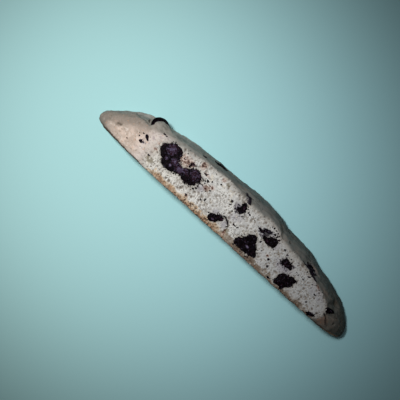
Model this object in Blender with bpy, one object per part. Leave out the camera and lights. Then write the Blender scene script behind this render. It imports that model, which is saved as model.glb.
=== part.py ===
"""One slice of chocolate chip biscotti, built in the order in which it is made.

A loaf with a flat baked bottom and a domed crust is baked with chocolate chips in its
dough, then sliced across and toasted.  This slice comes from near the end of its loaf,
so the crust leans in over both tips and, a little, along the dome.

The slice lies on one knife cut: Z is its thickness, X runs from tip to tip and +Y points
from the baked bottom to the dome.  The origin is the middle of the underside.
"""

import math
from typing import NamedTuple

import bmesh
import bpy
from mathutils import Matrix, Vector

# Driving dimensions, in metres.
LENGTH = 0.138
HEIGHT = 0.0234
THICKNESS = 0.015
POCKET_GAP = 0.0003

# Resolution of the faceted solids.
STATIONS = 60
LEVELS = 8
MORSEL_SEGMENTS = 14
MORSEL_RINGS = 8

# The side wall is part of an ellipse that would close this many thicknesses up.
CLOSING_HEIGHT = 1.04 * THICKNESS

# The baked bottom turns up at the tips only: a high power keeps it flat until then.
BOTTOM_POWER = 27
BOTTOM_ROUNDNESS = 0.5


class Outline(NamedTuple):
    """The loaf's outline at one height of the slice. Heights count from the baked bottom."""

    left: float
    right: float
    apex: float
    dome: float
    left_nose: float
    right_nose: float
    left_power: float
    right_power: float
    left_roundness: float
    right_roundness: float


UNDERSIDE = Outline(
    left=-0.5 * LENGTH,
    right=0.5 * LENGTH,
    apex=0.0090,
    dome=HEIGHT - 0.00075,
    left_nose=0.0040,
    right_nose=0.0031,
    left_power=3.2,
    right_power=1.57,
    left_roundness=0.735,
    right_roundness=0.49,
)
TOP_CUT = Outline(
    left=-0.0430,
    right=0.0546,
    apex=0.0055,
    dome=HEIGHT - 0.0033,
    left_nose=0.0064,
    right_nose=0.0072,
    left_power=2.8,
    right_power=1.25,
    left_roundness=0.28,
    right_roundness=0.59,
)


class Lump(NamedTuple):
    """A rise or a hollow that runs over the dome, as high at the top cut as cut_rise says."""

    x: float
    rise: float
    cut_rise: float
    width: float


LUMPS = (
    Lump(x=-0.0540, rise=0.0030, cut_rise=0.0030, width=0.0090),
    Lump(x=0.0040, rise=0.00075, cut_rise=0.00075, width=0.0090),
    Lump(x=0.0168, rise=0.0, cut_rise=0.0007, width=0.0040),
    Lump(x=0.0215, rise=-0.0007, cut_rise=-0.0007, width=0.0048),
    Lump(x=0.0262, rise=0.0, cut_rise=-0.0009, width=0.0050),
    Lump(x=0.0350, rise=0.0005, cut_rise=0.0005, width=0.0040),
    Lump(x=0.0438, rise=-0.0005, cut_rise=-0.0005, width=0.0022),
    Lump(x=0.0590, rise=0.0009, cut_rise=0.0009, width=0.0025),
)


class Chip(NamedTuple):
    """A chocolate morsel in the dough.

    x, up and z are its middle: along the slice, above the baked bottom, above the
    underside. Its tip points along heading, an angle in the cut from +X, raised by tilt.
    Flatness is its thickness across the cut as a share of its width, taper says how much
    narrower it is at its tip than at its base, and base is how far its base lies behind
    its middle, as a share of its length.
    """

    name: str
    x: float
    up: float
    z: float
    radius: float
    length: float
    heading: float = 90.0
    tilt: float = 0.0
    flatness: float = 1.0
    taper: float = 0.42
    base: float = 0.5


# Two morsels that melted into one: the left and right lobes and the bridge between them.
PAIR = (
    Chip("chip_pair", -0.0357, 0.0125, THICKNESS, 0.0041, 0.0049, heading=120, tilt=-60),
    Chip("pair_right", -0.0227, 0.0098, THICKNESS, 0.0040, 0.0052, heading=75, tilt=-25),
    Chip("pair_bridge", -0.0320, 0.0086, THICKNESS - 0.0002, 0.0025, 0.0090, heading=-2),
)

# Morsels that the knife and the baking tray cut flush with the dough.
FLUSH_CHIPS = (
    Chip(
        "chip_cone", 0.0133, 0.0040, THICKNESS - 0.0002, 0.0047, 0.0062,
        heading=94, taper=0.75, base=0.3,
    ),
    Chip("chip_bottom", 0.0347, 0.0039, THICKNESS - 0.0003, 0.0034, 0.0046, heading=58),
    Chip("chip_slant", -0.0045, 0.0041, THICKNESS, 0.0014, 0.0042, heading=36),
    Chip("chip_ridge", 0.0019, 0.0144, THICKNESS, 0.0016, 0.0031, heading=95),
    Chip("chip_oval", 0.0200, 0.0128, THICKNESS - 0.0001, 0.0016, 0.0041, heading=195),
    Chip("chip_small", 0.0302, 0.0105, THICKNESS, 0.0016, 0.0030, heading=-12),
    Chip("under_chip_1", -0.0450, 0.0090, 0.0004, 0.0036, 0.0045, heading=200, tilt=35),
    Chip("under_chip_2", -0.0190, 0.0140, 0.0002, 0.0040, 0.0052, heading=30, tilt=20),
    Chip("under_chip_3", -0.0050, 0.0064, 0.0003, 0.0026, 0.0034, heading=-40, tilt=15),
    Chip("under_chip_4", 0.0110, 0.0135, 0.0005, 0.0038, 0.0046, heading=140, tilt=50),
    Chip("under_chip_5", 0.0290, 0.0066, 0.0002, 0.0033, 0.0050, heading=75, tilt=10),
    Chip("under_chip_6", 0.0490, 0.0075, 0.0004, 0.0029, 0.0038, heading=10, tilt=30),
    Chip("sole_chip_1", -0.0215, 0.0007, 0.0068, 0.0031, 0.0040, heading=70, tilt=40),
    Chip("sole_chip_2", 0.0180, 0.0006, 0.0060, 0.0026, 0.0036, heading=110, tilt=-20),
    Chip("sole_chip_3", -0.0520, 0.0006, 0.0055, 0.0021, 0.0030, heading=60, tilt=10),
)

# Morsels that stand a little proud of the crust.
CRUST_CHIPS = (
    Chip("crown_chip", -0.0477, 0.0167, 0.0082, 0.0034, 0.0040, heading=-50, tilt=10),
    Chip("sliver_chip", 0.0388, 0.0163, 0.0118, 0.0012, 0.0062, heading=-17, flatness=0.8),
    Chip("tip_chip", 0.0567, 0.0081, 0.0132, 0.0018, 0.0024, heading=200, tilt=-50),
    Chip("dome_chip", -0.0163, 0.0206, 0.0060, 0.0031, 0.0037, heading=-80, tilt=20),
)


def clear_scene():
    for thing in list(bpy.data.objects):
        bpy.data.objects.remove(thing)


def new_collection(name):
    made = bpy.data.collections.new(name)
    bpy.context.scene.collection.children.link(made)
    return made


def make_material(name, colour, roughness, metallic=0.0):
    material = bpy.data.materials.new(name)
    material.use_nodes = True
    shader = material.node_tree.nodes["Principled BSDF"]
    shader.inputs["Base Color"].default_value = (*colour, 1.0)
    shader.inputs["Roughness"].default_value = roughness
    shader.inputs["Metallic"].default_value = metallic
    return material


def add_object(name, mesh, collection, material=None):
    made = bpy.data.objects.new(name, mesh)
    collection.objects.link(made)
    if material:
        mesh.materials.append(material)
    mesh.shade_smooth()
    mesh.set_sharp_from_angle(angle=math.radians(40))
    return made


def as_helper(thing):
    """A cutter or a guide: drawn as wire, and never part of the slice."""
    thing.hide_render = True
    thing.display_type = "WIRE"
    return thing


def add_boolean(target, operation, other):
    """Other is an object, or a collection of objects that stay clear of each other."""
    step = target.modifiers.new(f"{operation}_{other.name}", "BOOLEAN")
    step.operation = operation
    step.solver = "EXACT"
    if isinstance(other, bpy.types.Collection):
        step.operand_type = "COLLECTION"
        step.collection = other
    else:
        step.object = other


# The slice's own form.


def blend_outlines(lean):
    """The outline at a height where the wall has leaned in by this share of its whole lean."""
    return Outline(*(low + (high - low) * lean for low, high in zip(UNDERSIDE, TOP_CUT)))


def lumps_at(x, lean):
    return sum(
        (lump.rise + (lump.cut_rise - lump.rise) * lean)
        * math.exp(-(((x - lump.x) / lump.width) ** 2))
        for lump in LUMPS
    )


def station(outline, lean, share):
    """(x, height of the dome, height of the bottom) at a share of the way from tip to tip."""
    x = outline.left + (outline.right - outline.left) * share
    if x < outline.apex:
        reach = (outline.apex - x) / (outline.apex - outline.left)
        nose, power, roundness = outline.left_nose, outline.left_power, outline.left_roundness
    else:
        reach = (x - outline.apex) / (outline.right - outline.apex)
        nose, power, roundness = outline.right_nose, outline.right_power, outline.right_roundness
    reach = min(reach, 1.0)
    arch = (1 - reach**power) ** roundness
    dome = nose + (outline.dome - nose + lumps_at(x, lean)) * arch
    bottom = nose * (1 - (1 - reach**BOTTOM_POWER) ** BOTTOM_ROUNDNESS)
    return x, dome, bottom


def ring_points(lean, z):
    """The closed outline: along the dome from the left tip to the right, and back along the bottom."""
    outline = blend_outlines(lean)
    shares = [(1 - math.cos(math.pi * k / STATIONS)) / 2 for k in range(STATIONS + 1)]
    stations = [station(outline, lean, share) for share in shares]
    dome = [Vector((x, top - HEIGHT / 2, z)) for x, top, _ in stations]
    bottom = [Vector((x, low - HEIGHT / 2, z)) for x, _, low in stations[1:-1]]
    return dome + bottom[::-1]


def wall_levels():
    """(height, share of the lean) of each ring, evenly spaced round the wall's ellipse."""
    last = math.asin(THICKNESS / CLOSING_HEIGHT)
    for k in range(LEVELS + 1):
        angle = last * k / LEVELS
        yield CLOSING_HEIGHT * math.sin(angle), (1 - math.cos(angle)) / (1 - math.cos(last))


def close_with_ladder(build, ring, faces_up):
    """Fills a cut with rungs that run from the dome to the bottom, station by station."""
    count = len(ring)
    for k in range(STATIONS):
        corners = [ring[k], ring[k + 1], ring[(count - k - 1) % count], ring[(count - k) % count]]
        corners = list(dict.fromkeys(corners))
        build.faces.new(corners[::-1] if faces_up else corners)


def slice_mesh(name):
    """A loft from the underside's outline, up the leaning crust, to the top cut's outline."""
    build = bmesh.new()
    rings = [
        [build.verts.new(point) for point in ring_points(lean, z)]
        for z, lean in wall_levels()
    ]
    count = len(rings[0])
    for lower, upper in zip(rings, rings[1:]):
        for k in range(count):
            after = (k + 1) % count
            build.faces.new((lower[after], lower[k], upper[k], upper[after]))
    close_with_ladder(build, rings[0], faces_up=False)
    close_with_ladder(build, rings[-1], faces_up=True)
    bmesh.ops.recalc_face_normals(build, faces=build.faces)
    mesh = bpy.data.meshes.new(name)
    build.to_mesh(mesh)
    build.free()
    return mesh


# The chocolate.


def morsel_mesh(name, chip, grow):
    """A sphere drawn out into a morsel: narrow at its tip, wide and flattened at its base."""
    build = bmesh.new()
    bmesh.ops.create_uvsphere(
        build, u_segments=MORSEL_SEGMENTS, v_segments=MORSEL_RINGS, radius=1.0
    )
    for vert in build.verts:
        along = vert.co.z
        width = (chip.radius + grow) * (1 - chip.taper * along)
        length = (chip.length + grow) * (along if along > 0 else chip.base * along)
        vert.co = Vector((vert.co.x * width, vert.co.y * width * chip.flatness, length))
    mesh = bpy.data.meshes.new(name)
    build.to_mesh(mesh)
    build.free()
    return mesh


def morsel_placement(chip):
    """Turns the morsel's tip from +Z to its heading and tilt, and moves it into the slice."""
    heading, tilt = math.radians(chip.heading), math.radians(chip.tilt)
    turn = Matrix.Rotation(heading, 4, "Z") @ Matrix.Rotation(math.pi / 2 - tilt, 4, "Y")
    return Matrix.Translation((chip.x, chip.up - HEIGHT / 2, chip.z)) @ turn


def add_morsel(name, chip, collection, material=None, grow=0.0):
    mesh = morsel_mesh(name, chip, grow)
    mesh.transform(morsel_placement(chip))
    return add_object(name, mesh, collection, material)


def add_chip(chips, trim_to, slice_parts, pockets, helpers, material):
    """One chip, or several melted into one, and the pocket that it sits in."""
    main, *melted_on = chips
    chip = add_morsel(main.name, main, slice_parts, material)
    pocket = as_helper(add_morsel(f"pocket_{main.name}", main, pockets, grow=POCKET_GAP))
    for lobe in melted_on:
        add_boolean(chip, "UNION", as_helper(add_morsel(lobe.name, lobe, helpers)))
        hollow = add_morsel(f"pocket_{lobe.name}", lobe, helpers, grow=POCKET_GAP)
        add_boolean(pocket, "UNION", as_helper(hollow))
    if trim_to:
        add_boolean(chip, "INTERSECT", trim_to)
    return chip


def main():
    clear_scene()
    slice_parts = new_collection("biscotti")
    pockets = new_collection("pockets")
    helpers = new_collection("helpers")
    dough = make_material("baked_dough", (0.52, 0.48, 0.41), roughness=0.85)
    chocolate = make_material("dark_chocolate", (0.018, 0.009, 0.012), roughness=0.40)

    biscuit = add_object("biscuit", slice_mesh("biscuit"), slice_parts, dough)
    whole_slice = as_helper(add_object("whole_slice", slice_mesh("whole_slice"), helpers))

    add_chip(PAIR, whole_slice, slice_parts, pockets, helpers, chocolate)
    for chip in FLUSH_CHIPS:
        add_chip([chip], whole_slice, slice_parts, pockets, helpers, chocolate)
    for chip in CRUST_CHIPS:
        add_chip([chip], None, slice_parts, pockets, helpers, chocolate)
    add_boolean(biscuit, "DIFFERENCE", pockets)


main()
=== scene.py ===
# %% [markdown]
# # A slice of chocolate chip biscotti
#
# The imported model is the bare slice: one solid of dough and twenty solid chips. This lesson
# gives it its looks. The dough becomes a fine mesh whose pores, crumb and crust are real
# relief, the chips become melted chocolate, and small flecks and crumbs are added on top.
# The frame is loaded first, because every size and place below is worked out from it.

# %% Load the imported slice
import math

import bmesh
import bpy
import numpy as np
from mathutils import Matrix, Vector, noise
from mathutils.bvhtree import BVHTree
from mathutils.kdtree import KDTree


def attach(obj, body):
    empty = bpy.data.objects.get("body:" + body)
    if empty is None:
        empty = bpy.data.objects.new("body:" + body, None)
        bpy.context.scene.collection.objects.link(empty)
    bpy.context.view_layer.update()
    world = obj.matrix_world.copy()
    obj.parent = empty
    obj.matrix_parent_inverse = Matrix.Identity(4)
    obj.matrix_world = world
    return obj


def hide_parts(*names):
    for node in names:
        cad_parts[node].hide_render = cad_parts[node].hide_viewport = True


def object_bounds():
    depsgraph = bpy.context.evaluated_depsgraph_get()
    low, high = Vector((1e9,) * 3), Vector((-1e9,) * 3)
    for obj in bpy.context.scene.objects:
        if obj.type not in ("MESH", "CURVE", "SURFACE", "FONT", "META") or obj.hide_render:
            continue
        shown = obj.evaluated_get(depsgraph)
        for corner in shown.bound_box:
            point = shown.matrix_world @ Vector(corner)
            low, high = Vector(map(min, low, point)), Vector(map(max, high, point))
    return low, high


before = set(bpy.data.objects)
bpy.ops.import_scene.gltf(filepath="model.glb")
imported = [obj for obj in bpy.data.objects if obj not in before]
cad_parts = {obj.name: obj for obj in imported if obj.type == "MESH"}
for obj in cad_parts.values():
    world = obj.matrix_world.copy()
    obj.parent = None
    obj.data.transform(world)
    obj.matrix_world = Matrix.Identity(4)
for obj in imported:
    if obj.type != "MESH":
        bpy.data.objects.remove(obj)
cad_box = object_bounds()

print("nodes:", len(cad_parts))

# %% [markdown]
# ## Measures
#
# The slice lies on one knife cut. X runs from its pale tip to its dark tip, Y from the baked
# bottom to the domed crust, and Z is its thickness. Places on the slice are easiest to say
# the way a baker would, in millimetres along the slice and up from the baked bottom, so one
# small function turns such a pair into a point of the scene.

# %% Measures of the slice
MM = 0.001
LOW, HIGH = cad_box
THICK = HIGH.z - LOW.z


def spot(along, up, z=THICK):
    """A point of the slice, from millimetres along it and up from its baked bottom."""
    return Vector((along * MM, LOW.y + up * MM, z))


print("length, depth, thickness in mm:", [round(v / MM, 1) for v in HIGH - LOW])

# %% [markdown]
# ## Tools for relief
#
# Relief is worked out for all the points of a mesh at once, as arrays of numbers. Soft noise
# gives lumps of any size. A ramp turns a measure, such as a height, into a mask between 0
# and 1, and a patch is such a mask round one place.

# %% Noise, ramps and patches


def grain(points, size, seed=0, octaves=2):
    """Soft noise, about -1 to 1, with lumps as far apart as size."""
    away = Vector((seed * 17.3, seed * 5.1, seed * 29.7))
    return np.array([noise.fractal(Vector(p) / size + away, 1.0, 2.0, octaves) for p in points])


def ramp(values, start, end):
    """0 before start and 1 after end, with a smooth rise between them."""
    share = np.clip((values - start) / (end - start), 0, 1)
    return share * share * (3 - 2 * share)


def patch(points, along, up, length, width, turn=0):
    """1 in the middle of a turned oval and 0 from its edge outwards. Sizes are in mm."""
    c, s = math.cos(math.radians(turn)), math.sin(math.radians(turn))
    centre = spot(along, up)
    dx, dy = (points[:, 0] - centre.x) / MM, (points[:, 1] - centre.y) / MM
    far = ((dx * c + dy * s) / (length / 2)) ** 2 + ((dy * c - dx * s) / (width / 2)) ** 2
    return np.clip(1 - far, 0, 1)


def line_distance(points, route):
    """How far each point is, in mm and in plan, from a line through (along, up) places."""
    places = [np.array(spot(*place)[:2]) for place in route]
    nearest = np.full(len(points), 1e9)
    for start, end in zip(places, places[1:]):
        run = end - start
        share = np.clip(((points[:, :2] - start) @ run) / (run @ run), 0, 1)
        away = points[:, :2] - start - share[:, None] * run
        nearest = np.minimum(nearest, np.hypot(away[:, 0], away[:, 1]) / MM)
    return nearest


# %% Meshes in and out


def read_points(mesh):
    values = np.zeros(len(mesh.vertices) * 3, np.float32)
    mesh.vertices.foreach_get("co", values)
    return values.reshape(-1, 3).astype(float)


def read_normals(mesh):
    values = np.zeros(len(mesh.vertices) * 3, np.float32)
    mesh.vertex_normals.foreach_get("vector", values)
    return values.reshape(-1, 3).astype(float)


def write_points(mesh, points):
    mesh.vertices.foreach_set("co", points.astype(np.float32).ravel())
    mesh.update()


def write_mask(mesh, name, values):
    mask = mesh.attributes.new(name, "FLOAT", "POINT")
    mask.data.foreach_set("value", np.clip(values, 0, 2).astype(np.float32))


def new_piece(name, mesh):
    piece = bpy.data.objects.new(name, mesh)
    mesh.name = name
    bpy.context.scene.collection.objects.link(piece)
    return piece


def even_mesh(name, source, voxel):
    """The same solid as the source mesh, with faces of one even size."""
    made = new_piece(name, source)
    remesh = made.modifiers.new("even faces", "REMESH")
    remesh.mode = "VOXEL"
    remesh.voxel_size = voxel
    remesh.use_smooth_shade = True
    graph = bpy.context.evaluated_depsgraph_get()
    mesh = bpy.data.meshes.new_from_object(made.evaluated_get(graph))
    made.modifiers.clear()
    made.data = mesh
    return made


def egg(name, centre, radii, lean=(0, 0, 1), rings=48):
    """A smooth egg shape. Its third radius points along lean."""
    build = bmesh.new()
    bmesh.ops.create_uvsphere(build, u_segments=2 * rings, v_segments=rings, radius=1.0)
    leaned = Vector((0, 0, 1)).rotation_difference(Vector(lean)).to_matrix().to_4x4()
    shape = Matrix.Translation(centre) @ leaned @ Matrix.Diagonal((*radii, 1))
    bmesh.ops.transform(build, matrix=shape, verts=build.verts)
    mesh = bpy.data.meshes.new(name)
    build.to_mesh(mesh)
    build.free()
    return mesh


def finish_piece(piece, finish, slot, *nodes):
    piece.data.materials.clear()
    piece.data.materials.append(finish)
    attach(piece, "root")
    if nodes:
        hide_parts(*nodes)
    print(piece.name, "faces:", len(piece.data.polygons))


# %% [markdown]
# ## The dough
#
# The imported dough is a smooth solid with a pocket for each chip. A voxel remesh lays even
# faces over it, small enough to carry pores. On the real slice a blister of dough has baked
# over most of the crown chip, so that only a dark sickle of it shows. Two egg-shaped lumps
# join the dough before the remesh: one fills that chip's pocket, the other is the blister,
# which leans the way the crust slopes there. A few rounds of smoothing melt the seams.

# %% Lay an even mesh over the dough
DOUGH_VOXEL = 0.00025
CRUST_LEAN = (0.10, 0.61, 0.79)
POCKET_FILL = egg("pocket_fill", spot(-46.9, 15.4, 7.4 * MM), (3.6 * MM, 3.2 * MM, 3.5 * MM))
BLISTER = egg("blister", spot(-44.6, 16.35, 10.9 * MM), (4.6 * MM, 4.2 * MM, 1.8 * MM), CRUST_LEAN)


def dough_solid():
    build = bmesh.new()
    for mesh in (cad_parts["biscuit"].data, POCKET_FILL, BLISTER):
        build.from_mesh(mesh)
    mesh = bpy.data.meshes.new("dough_solid")
    build.to_mesh(mesh)
    build.free()
    return mesh


dough = even_mesh("baked_dough", dough_solid(), DOUGH_VOXEL)
edges = np.zeros(len(dough.data.edges) * 2, np.int64)
dough.data.edges.foreach_get("vertices", edges)
edges = edges.reshape(-1, 2)
print("dough points:", len(dough.data.vertices))

# %% Spread values over neighbouring points


def soften(values, rounds):
    """Each round moves every point's value to the mean of its neighbours' values."""
    ends = np.concatenate((edges, edges[:, ::-1]))
    count = np.bincount(ends[:, 0], minlength=len(values))
    for _ in range(rounds):
        values = np.bincount(ends[:, 0], weights=values[ends[:, 1]], minlength=len(values)) / count
    return values


BLISTER_SEAM = (-45.6, 16.0, 15.0, 13.0)
rest = read_points(dough.data)
smooth = np.stack([soften(axis, 30) for axis in rest.T], axis=1)
near = ramp(patch(rest, *BLISTER_SEAM), 0.0, 0.5)[:, None]
rest = rest * (1 - near) + smooth * near
write_points(dough.data, rest)
facing = read_normals(dough.data)

# %% [markdown]
# ## Where is what
#
# A loaf slice has three kinds of skin: the two knife cuts, the domed crust and the flat
# baked bottom. Each mask below is a number for each point. The border between cut and crust
# wanders a little, because a knife tears the crumb there, and along the dome the crust's dry
# shoulder reaches some way in over the cut. Near the pale tip the knife only
# grazed the loaf, so there the crumb fades into smooth skin.

# %% Masks of the cuts, the crust and the baked bottom
CRUMB_LINE = (
    (-46, 15.0), (-38.7, 15.6), (-34.6, 16.8), (-30.5, 17.6), (-22.3, 18.9), (-14.1, 19.5),
    (-10, 20.1), (-5.9, 19.6), (-1.7, 19.0), (2.4, 18.6), (6.5, 18.7), (10.6, 18.6),
    (14.7, 19.0), (18.8, 18.5), (22.9, 16.3), (27, 16.0), (31.1, 15.3), (35.2, 15.0),
    (39.4, 14.5), (43.5, 13.3), (47.6, 11.9), (60, 12),
)


def past_crumb(points):
    """How far each point is beyond the border of the crumb, in mm and in plan."""
    along, up = points[:, 0] / MM, (points[:, 1] - LOW.y) / MM
    return up + 0.45 * grain(points, 0.0030, seed=1) - np.interp(along, *zip(*CRUMB_LINE))


def sunk_shoulder(points):
    """How far the dry shoulder of the crust has sunk, in mm."""
    return 0.55 * ramp(past_crumb(points), -0.4, 2.2)


TOP = THICK / MM
along, up, height = rest[:, 0] / MM, (rest[:, 1] - LOW.y) / MM, rest[:, 2] / MM
wander = grain(rest, 0.0030, seed=1)
past_line = past_crumb(rest)
opened = ramp(along + 2.0 * wander - 0.12 * (up - 8), -46.5, -38.5)
top_cut = ramp(height + 0.12 * wander, TOP - 0.62, TOP - 0.18) * opened
top_cut *= 1 - ramp(past_line, -0.8, 0.9)
low_cut = 1 - ramp(height + 0.10 * wander, 0.16, 0.55)
cut = np.maximum(top_cut, low_cut)
sole = (1 - cut) * ramp(-facing[:, 1], 0.55, 0.9) * (1 - ramp(up, 0.8, 2.0))
skin = (1 - cut) * (1 - ramp(along, -42, -34)) * ramp(facing[:, 2], 0.05, 0.5)
blurred = soften(cut, 50)
paleness = cut + (blurred - cut) * (1 - ramp(along, -30, -5))
print("share of the mesh on a cut:", round(float(cut.mean()), 2))

# %% [markdown]
# ## Relief of the dough
#
# Four kinds of relief are added up: slow lumps over the whole slice, the fine crumb of the
# cuts, wrinkles and grains of the crust, and single features such as folds. Lengths are in
# millimetres, and a positive number lifts the surface.

# %% Lumps, crumb and wrinkles


def slow_lumps(points):
    return 0.15 * grain(points, 0.0110, seed=2) + 0.09 * grain(points, 0.0048, seed=3)


crumb = 0.11 * grain(rest, 0.0017, seed=4, octaves=3) + 0.07 * grain(rest, 0.0007, seed=5)
wrinkles = 0.20 * grain(rest * (0.40, 1, 1), 0.0034, seed=6, octaves=3)
grains = 0.05 * grain(rest, 0.0009, seed=7)
crust_relief = (wrinkles + grains) * (1 - 0.60 * skin) * (1 - 0.70 * sole)
relief = slow_lumps(rest) * (1 - low_cut) + crumb * cut + crust_relief * (1 - cut) - 0.12 * low_cut
relief -= sunk_shoulder(rest) * ramp(height, TOP - 2.0, TOP)

# %% Torn edge between cut and crust
border = 4 * top_cut * (1 - top_cut) * opened
relief -= 0.40 * border * ramp(grain(rest, 0.0015, seed=9), 0.05, 0.55)

# %% Folds and creases of the crust
FOLDS = (
    dict(route=((-57.8, 14.6), (-53.0, 14.9), (-49.6, 14.7)), width=0.6, height=-0.36),
    dict(route=((-57.0, 13.6), (-52.0, 13.8), (-47.0, 13.6)), width=1.2, height=0.22),
    dict(route=((-55.8, 16.4), (-52.4, 17.8)), width=2.2, height=-1.20),
    dict(route=((-66.2, 4.9), (-63.4, 5.3), (-61.0, 6.0), (-59.8, 6.5)), width=1.1, height=-0.30),
    dict(route=((-65.0, 5.0), (-63.0, 5.4), (-60.6, 6.2)), width=0.99, height=-0.22),
    dict(route=((-60.4, 6.4), (-59.0, 6.9)), width=0.99, height=-1.05),
    dict(route=((-59.5, 6.8), (-60.1, 7.7)), width=1.0, height=-0.22),
    dict(route=((-61.4, 8.4), (-58.6, 9.8)), width=1.5, height=0.48),
    dict(route=((56.6, 5.6), (58.8, 4.0), (60.6, 2.4)), width=0.5, height=-0.45),
    dict(route=((53.8, 9.2), (56.0, 12.4), (60.0, 13.4)), width=0.9, height=-0.26),
    dict(route=((50.5, 14.6), (57.5, 12.2), (63.0, 8.2)), width=0.8, height=-0.26),
    dict(route=((18.4, 20.4), (20.8, 18.6), (22.8, 16.6)), width=0.9, height=-0.42),
    dict(route=((24.5, 19.2), (31.0, 18.2), (38.0, 15.8)), width=1.0, height=-0.26),
    dict(route=((-40.0, 19.2), (-28.0, 20.4), (-14.0, 21.6)), width=1.0, height=-0.22),
    dict(route=((10.5, 23.0), (15.0, 22.6), (19.0, 20.6)), width=3.0, height=0.50),
    dict(route=((-35.2, 20.6), (-34.0, 21.0)), width=2.0, height=-0.30),
    dict(route=((70.5, -1.0), (71.0, 5.0), (68.0, 11.0)), width=3.4, height=-0.95),
)
above_table = ramp(height, 0.8, 3.2)
crease_shade = np.zeros(len(rest))
for one in FOLDS:
    away = line_distance(rest, one["route"])
    shape = one["height"] * np.exp(-((away / one["width"]) ** 2)) * (1 - cut) * above_table
    relief += shape
    # Narrow sunk folds also get a dark line of painted shade along them.
    if one["height"] < 0 and one["width"] < 1:
        dark = min(1, -2 * one["height"]) * np.exp(-((away / (0.6 * one["width"])) ** 2))
        crease_shade += dark * (1 - cut) * above_table
print("folds:", len(FOLDS))

# %% The flap of crumb beside the slanting chip
FLAP_CRACK = ((-2.0, 6.6), (-0.4, 7.2), (1.0, 6.9), (2.1, 5.9), (2.8, 4.6), (2.9, 3.2), (2.5, 2.0))
flap = patch(rest, 0.5, 4.6, 4.6, 4.4) * top_cut
# The crack is sunk, and the finish paints shade into it as well.
crack = np.exp(-((line_distance(rest, FLAP_CRACK) / 0.30) ** 2)) * top_cut
relief += 0.30 * flap - 0.75 * crack

# %% [markdown]
# ## Pores
#
# Baking powder leaves bubbles, and the knife opens them. They are pressed into the mesh one
# by one, from places drawn by weight: many on the cuts, few on the crust. Each pore is an
# uneven bowl, and a mask of how deep every point lies lets the finish paint shade into it.

# %% Press the pores
PORES = 7500
chance = np.random.default_rng(11)


def press_pores(points):
    weight = (cut * (1 - 0.8 * skin) + 0.015 * (1 - cut)) * (1 - near[:, 0])
    weight *= 0.30 + 0.70 * ramp(grain(points, 0.006, seed=10), -0.4, 0.5)
    weight *= 1 - 0.6 * (1 - ramp(along, -42, -26)) * top_cut
    chosen = chance.choice(len(points), PORES, replace=False, p=weight / weight.sum())
    radii = np.clip(chance.lognormal(math.log(0.27), 0.42, PORES), 0.16, 0.95) * MM
    tree = KDTree(len(points))
    for index, point in enumerate(points):
        tree.insert(point, index)
    tree.balance()
    ragged = 1 + 0.45 * grain(points, 0.0006, seed=8)
    deepest = np.zeros(len(points))
    for where, radius in zip(chosen, radii):
        for _, index, away in tree.find_range(Vector(points[where]), radius * 1.5):
            share = away / (radius * ragged[index])
            if share < 1:
                bowl = (1 - share**2) * min(1.0, radius / (0.7 * MM)) ** 0.5
                deepest[index] = max(deepest[index], bowl)
    return deepest


pores = press_pores(rest)
relief -= 0.60 * pores
print("points inside pores:", int((pores > 0.2).sum()))

# %% [markdown]
# The relief moves each point along its own normal. Dough and chips are then stirred together,
# which gives each chip its own outline and leaves no gap round it. The low cut must not sink
# through the table, and the slice keeps its frame's size, so the points are clipped at the end.

# %% Move the points
REACH = np.array((0.0005, 0.0005, 0.0003))


def settle(points):
    """Keeps points above the table and close to the frame's own box."""
    lowest, highest = np.array(LOW) - REACH, np.array(HIGH) + REACH
    lowest[2] = 0.0
    return np.clip(points, lowest, highest)


NUDGES = (
    (-39.2, 12.1, 2.6, -0.5, 0.0), (-38.2, 15.0, 2.6, 0.4, -0.4), (-32.2, 15.4, 2.6, 0.5, 0.5),
    (-27.2, 6.6, 3.4, 0.0, 1.1), (-26.8, 10.4, 2.4, 0.0, 0.4), (-24.8, 13.0, 2.6, 0.8, 0.4),
    (-18.8, 8.7, 2.4, -1.1, 0.3), (-20.6, 7.4, 2.4, -0.7, 0.7), (-19.2, 11.4, 2.6, 0.6, 0.0),
    (3.9, 13.8, 1.8, -0.5, 0.2), (17.0, 14.6, 2.2, 0.0, -0.5), (30.4, 12.0, 1.8, 0.0, -0.4),
    (31.0, 8.9, 1.8, 0.0, 0.4), (37.8, 1.4, 3.2, -1.7, 0.0), (38.4, 8.0, 2.2, 0.7, -0.3),
    (34.6, 8.4, 2.0, 0.0, -0.5),
    (32.3, 1.4, 2.6, -1.0, -0.2), (30.8, 4.5, 1.8, 0.5, 0.0), (56.8, 10.4, 3.0, 0.0, -1.5),
    (58.4, 6.6, 2.0, -0.7, 0.4), (-25.2, 7.4, 2.0, -0.9, -0.3), (0.0, 14.6, 1.8, 0.7, 0.0),
    (8.1, 4.6, 1.8, -0.4, 0.2), (7.0, 2.2, 1.6, 0.6, 0.4), (10.1, 7.0, 1.3, 0.25, -0.1),
    (11.4, 9.4, 1.4, -0.45, -0.1), (14.3, 9.2, 1.5, 0.45, 0.2), (16.6, 6.2, 1.4, 0.25, 0.2),
    (31.8, 2.6, 2.6, -0.3, -0.8), (36.2, 17.2, 2.2, 0.6, -0.9),
)


def stirred(points):
    """The points moved about in plan a little, so that no chip keeps a regular outline."""
    shift_a = 0.22 * grain(points, 0.0032, seed=61) + 0.13 * grain(points, 0.0012, seed=63)
    shift_b = 0.22 * grain(points, 0.0032, seed=62) + 0.13 * grain(points, 0.0012, seed=64)
    for a, b, wide, move_a, move_b in NUDGES:
        share = ramp(patch(points, a, b, wide * 2, wide * 2), 0, 1) * (points[:, 2] > 0.5 * THICK)
        shift_a += share * move_a
        shift_b += share * move_b
    return points + MM * np.stack((shift_a, shift_b, np.zeros(len(points))), axis=1)


write_points(dough.data, settle(stirred(rest + facing * (relief * MM)[:, None])))
print("tallest and deepest relief in mm:", round(relief.max(), 2), round(relief.min(), 2))
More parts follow.
